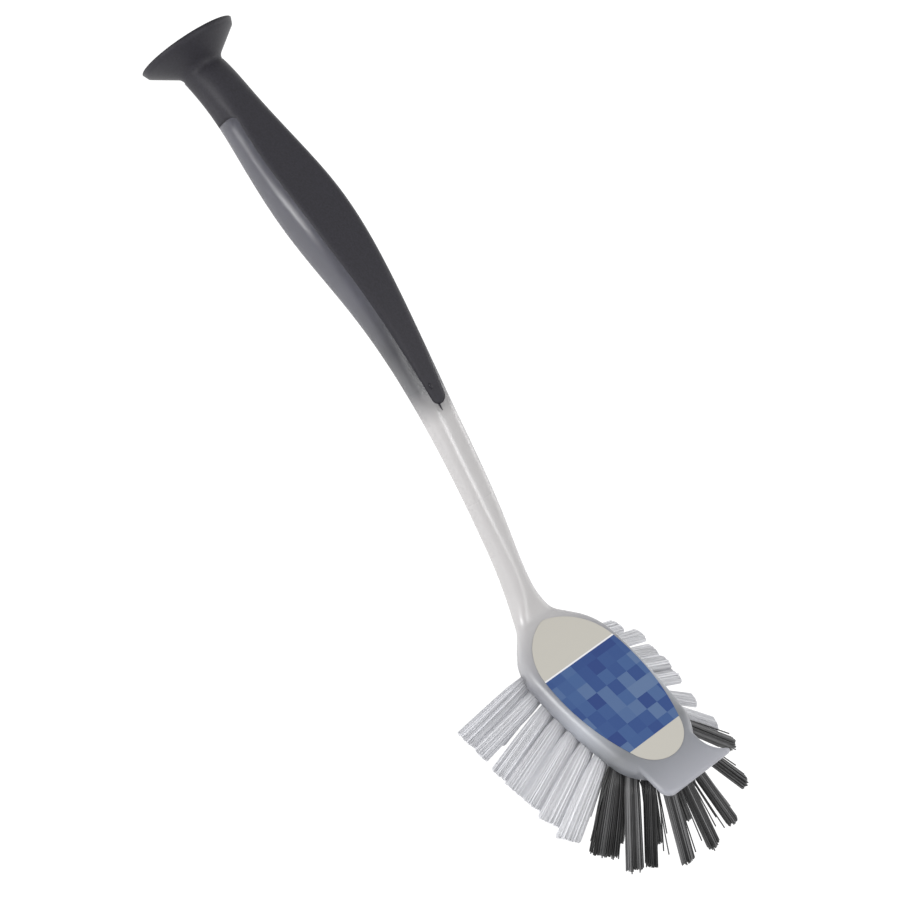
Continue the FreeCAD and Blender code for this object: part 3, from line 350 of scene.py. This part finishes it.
def make_tuft(node, shift, half_width, half_depth, tone, material, slot_name, strands, strand_width,
              ragged, contrast, strays, root_shade):
    root, tip = tuft_line(node)
    mouth = root + (tip - root).normalized() * HOLE_DEPTH
    tip = tip + HEAD_TURN @ Vector(shift) * MM
    along = (tip - mouth).normalized()
    across = along.cross(HEAD_UP)
    # A tuft that stands nearly square to the plate has no side of its own, and takes the brush's.
    across = across.normalized() if across.length > NEARLY_SQUARE else Vector((0.0, 1.0, 0.0))
    inward = along.cross(across)
    blank = bmesh.new()
    bmesh.ops.create_cone(blank, cap_ends=True, segments=STRAND_SIDES, radius1=strand_width / 2,
                          radius2=strand_width / 2, depth=1.0)
    sides = [edge for edge in blank.edges if abs(edge.verts[0].co.z - edge.verts[1].co.z) > 0.5]
    bmesh.ops.subdivide_edges(blank, edges=sides, cuts=STRAND_CUTS)
    strand_mesh = bpy.data.meshes.new("strand")
    blank.to_mesh(strand_mesh)
    blank.free()
    dice = random.Random(node)
    tuft = bmesh.new()
    shade = tuft.verts.layers.float.new("strand")
    slant = dice.uniform(-TRIM_SLANT, TRIM_SLANT)
    phase = dice.uniform(0, math.tau)
    for number in range(strands):
        tuft.from_mesh(strand_mesh)
        tuft.verts.ensure_lookup_table()
        strand = tuft.verts[number * len(strand_mesh.vertices):]
        # Sunflower packing spreads the filaments evenly over the hole and over the trimmed end.
        turn = number * GOLDEN_ANGLE
        reach = math.sqrt((number + 0.5) / strands)
        side = Vector((math.cos(turn), math.sin(turn))) * reach
        start = across * side.x * HOLE_HALF_WIDTH + inward * side.y * HOLE_HALF_DEPTH
        end = across * side.x * half_width + inward * side.y * half_depth
        end += (across * dice.gauss(0, 1) + inward * dice.gauss(0, 1)) * STRAND_JITTER
        cut = tip + along * (dice.gauss(0, ragged) + slant * side.x)
        if dice.random() < strays:
            end += across * dice.uniform(-1, 1) * half_width * STRAY_SPREAD
            cut -= along * dice.uniform(0, STRAY_SHORT)
        wave = math.sin(side.x * TONE_WAVES + phase)
        strand_tone = min(1, max(0, tone + contrast * (dice.gauss(0, TONE_SPREAD) + wave)))
        for vert in strand:
            run = vert.co.z + 0.5  # from 0 in the hole to 1 at the cut
            ring = across * vert.co.x + inward * vert.co.y
            spread = start.lerp(end, run ** FAN_CURVE)
            vert.co = (mouth - along * HOLE_SINK).lerp(cut, run) + spread + ring
            # Painted shade: strands at the tuft's sides are darker towards the hole, where the next tuft
            # shades them.
            vert[shade] = strand_tone - root_shade * side.x * side.x * (1 - run)
    bmesh.ops.recalc_face_normals(tuft, faces=tuft.faces)
    for face in tuft.faces:
        face.smooth = len(face.verts) == 4
    mesh = bpy.data.meshes.new(node.replace("tuft", "bristles"))
    tuft.to_mesh(mesh)
    tuft.free()
    mesh.materials.append(material)
    piece = bpy.data.objects.new(mesh.name, mesh)
    bpy.context.collection.objects.link(piece)
    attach(piece, "root")
    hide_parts(node)


# Extruded white polypropylene filament: soft and a little see-through, so the strands run together.
white_bristle, white_shader = new_finish("white_polypropylene_filament")
white_strand = add_node(white_bristle, "ShaderNodeAttribute", {}, attribute_name="strand")
white_tone = add_node(white_bristle, "ShaderNodeValToRGB", {"Fac": white_strand.outputs["Fac"]}, [
    (0.0, "#c6c7cd"), (1.0, "#f3f4f9")])
set_sockets(white_bristle, white_shader, {
    "Base Color": white_tone.outputs["Color"],
    "Roughness": 0.6,
    "Specular IOR Level": 0.25,
    "IOR": 1.49,
    "Subsurface Weight": 0.6,
    "Subsurface Radius": (1.0, 1.0, 1.0),
    "Subsurface Scale": 0.0022})
WHITE_TUFT = {"material": white_bristle, "slot_name": "white_bristle", "strands": 190,
              "strand_width": 0.0008, "ragged": 0.0002, "contrast": 0.05, "strays": 0.0, "root_shade": 0.5}
WHITE_HALF_DEPTH, LEFT_WHITE_HALF_DEPTH = 0.0016, 0.0008

# Extruded black polypropylene filament: opaque, with a satin glint along each strand and a few strays.
black_bristle, black_shader = new_finish("black_polypropylene_filament")
black_strand = add_node(black_bristle, "ShaderNodeAttribute", {}, attribute_name="strand")
black_tone = add_node(black_bristle, "ShaderNodeValToRGB", {"Fac": black_strand.outputs["Fac"]}, [
    (0.0, "#0c0c0d"), (1.0, "#6f6f70"), (0.5, "#353536")])
set_sockets(black_bristle, black_shader, {
    "Base Color": black_tone.outputs["Color"],
    "Roughness": 0.4,
    "IOR": 1.49})
BLACK_TUFT = {"material": black_bristle, "slot_name": "black_bristle", "strands": 120,
              "strand_width": 0.00045, "ragged": 0.0005, "contrast": 0.3, "strays": 0.035, "root_shade": 0.0}
BLACK_HALF_DEPTH = 0.0017

# Outer tufts lean a little out of their even fan: shift of the tip along and across the head and upwards,
# half width of the trimmed end, all in millimetres, and tone from dark to light. The inner ones stay in it.
# For the white tufts the tone is painted light and shade: they are all one filament, made lighter or darker
# one by one to stand in for how each is lit.
OUTER_TUFTS = {
    "right_1": (-1.1, 1.2, 0.0, 3.6, 0.1),
    "right_2": (-1.2, 1.8, 0.0, 3.2, 0.2),
    "right_3": (1.8, 1.7, 0.0, 3.4, 0.25),
    "right_4": (1.0, 1.5, 0.0, 3.7, 0.2),
    "right_5": (0.2, 1.7, 0.0, 3.7, 0.3),
    "right_6": (-0.4, 0.4, 0.0, 3.8, 0.55),
    "right_7": (-1.1, -1.3, 0.0, 3.7, 0.6),
    "right_8": (-0.5, 3.3, 0.0, 4.7, 0.4),
    "right_9": (0.6, 2.2, 0.0, 2.8, 0.65),
    "right_10": (-3.2, -0.9, 0.0, 1.9, 0.05),
    "right_11": (-0.7, -0.9, 0.0, 2.4, 0.5),
    "left_1": (-2.0, -2.2, 2.2, 2.5, 0.5),
    "left_2": (-1.3, 1.2, 2.2, 2.5, 0.5),
    "left_3": (-1.4, 0.4, 2.2, 2.5, 0.4),
    "left_4": (-2.9, 1.0, 2.2, 2.6, 0.35),
    "left_5": (-5.0, 0.7, 2.2, 2.6, 0.3),
    "left_6": (-3.7, 0.1, 2.2, 2.5, 0.2),
    "left_7": (-1.8, 1.7, 2.2, 2.4, 0.2),
    "left_8": (-3.5, 3.8, 2.2, 2.4, 0.45),
    "left_9": (0.4, 3.4, 1.2, 2.2, 0.45),
    "left_10": (1.5, -0.7, 0.0, 2.0, 0.5),
    "left_11": (0.3, -1.1, 0.0, 2.2, 0.5),
}
INNER_TUFT = (0.0, 0.0, 0.0, 2.3, 0.4)
for node in sorted(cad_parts):
    if "_tuft_" not in node:
        continue
    outer = node.startswith("outer")
    *shift, half_width, tone = OUTER_TUFTS[node.partition("_tuft_")[2]] if outer else INNER_TUFT
    if "white_tuft" in node:
        half_depth = LEFT_WHITE_HALF_DEPTH if "outer_white_tuft_left" in node else WHITE_HALF_DEPTH
        make_tuft(node, shift, half_width * MM, half_depth, tone, **WHITE_TUFT)
    else:
        make_tuft(node, shift, half_width * MM, BLACK_HALF_DEPTH, tone, **BLACK_TUFT)

# Studio: a plain pale floor, soft light from both sides and above, and the camera at the photograph's angle.
# The floor is a light table: it glows by itself, so that only the faintest of shadows shows on it.
floor_grid = bmesh.new()
bmesh.ops.create_grid(floor_grid, x_segments=1, y_segments=1, size=2.0)
floor_mesh = bpy.data.meshes.new("floor")
floor_grid.to_mesh(floor_mesh)
floor_grid.free()
floor = bpy.data.objects.new("floor", floor_mesh)
bpy.context.collection.objects.link(floor)
# Back-lit opal sheet: matt and evenly pale.
pale_floor, floor_shader = new_finish("pale_floor")
set_sockets(pale_floor, floor_shader, {
    "Base Color": linear("#6c6c6c"),
    "Roughness": 0.9,
    "Emission Color": (1.0, 1.0, 1.0, 1.0),
    "Emission Strength": 0.95})
floor_mesh.materials.append(pale_floor)

studio = bpy.data.worlds.new("studio")
studio.use_nodes = True
studio.node_tree.nodes["Background"].inputs["Color"].default_value = (1.0, 1.0, 1.0, 1.0)
studio.node_tree.nodes["Background"].inputs["Strength"].default_value = 0.75
bpy.context.scene.world = studio
bpy.context.scene.view_settings.view_transform = "Standard"


def add_softbox(name, place, width, height, power):
    light = bpy.data.lights.new(name, "AREA")
    light.shape = "RECTANGLE"
    light.size = width
    light.size_y = height
    light.energy = power
    lamp = bpy.data.objects.new(name, light)
    lamp.location = place
    lamp.rotation_euler = (-Vector(place)).to_track_quat("-Z", "Y").to_euler()
    bpy.context.collection.objects.link(lamp)


add_softbox("side_softbox", (-0.42, -1.08, 0.36), width=0.3, height=0.7, power=9.5)
add_softbox("far_softbox", (0.2, 1.05, 0.42), width=0.5, height=0.5, power=2.4)
add_softbox("top_softbox", (0.38, 0.17, 1.05), width=0.45, height=0.45, power=3.6)

lens = bpy.data.cameras.new("camera")
lens.sensor_width = 36.0
lens.lens = 125.305
lens.clip_start = 0.01
camera = bpy.data.objects.new("camera", lens)
camera.location = (-0.052433, -0.526261, 0.831904)
camera.rotation_euler = Euler([math.radians(turn) for turn in (15.9243, -29.6927, 54.1903)])
bpy.context.collection.objects.link(camera)
bpy.context.scene.camera = camera

bpy.context.view_layer.update()
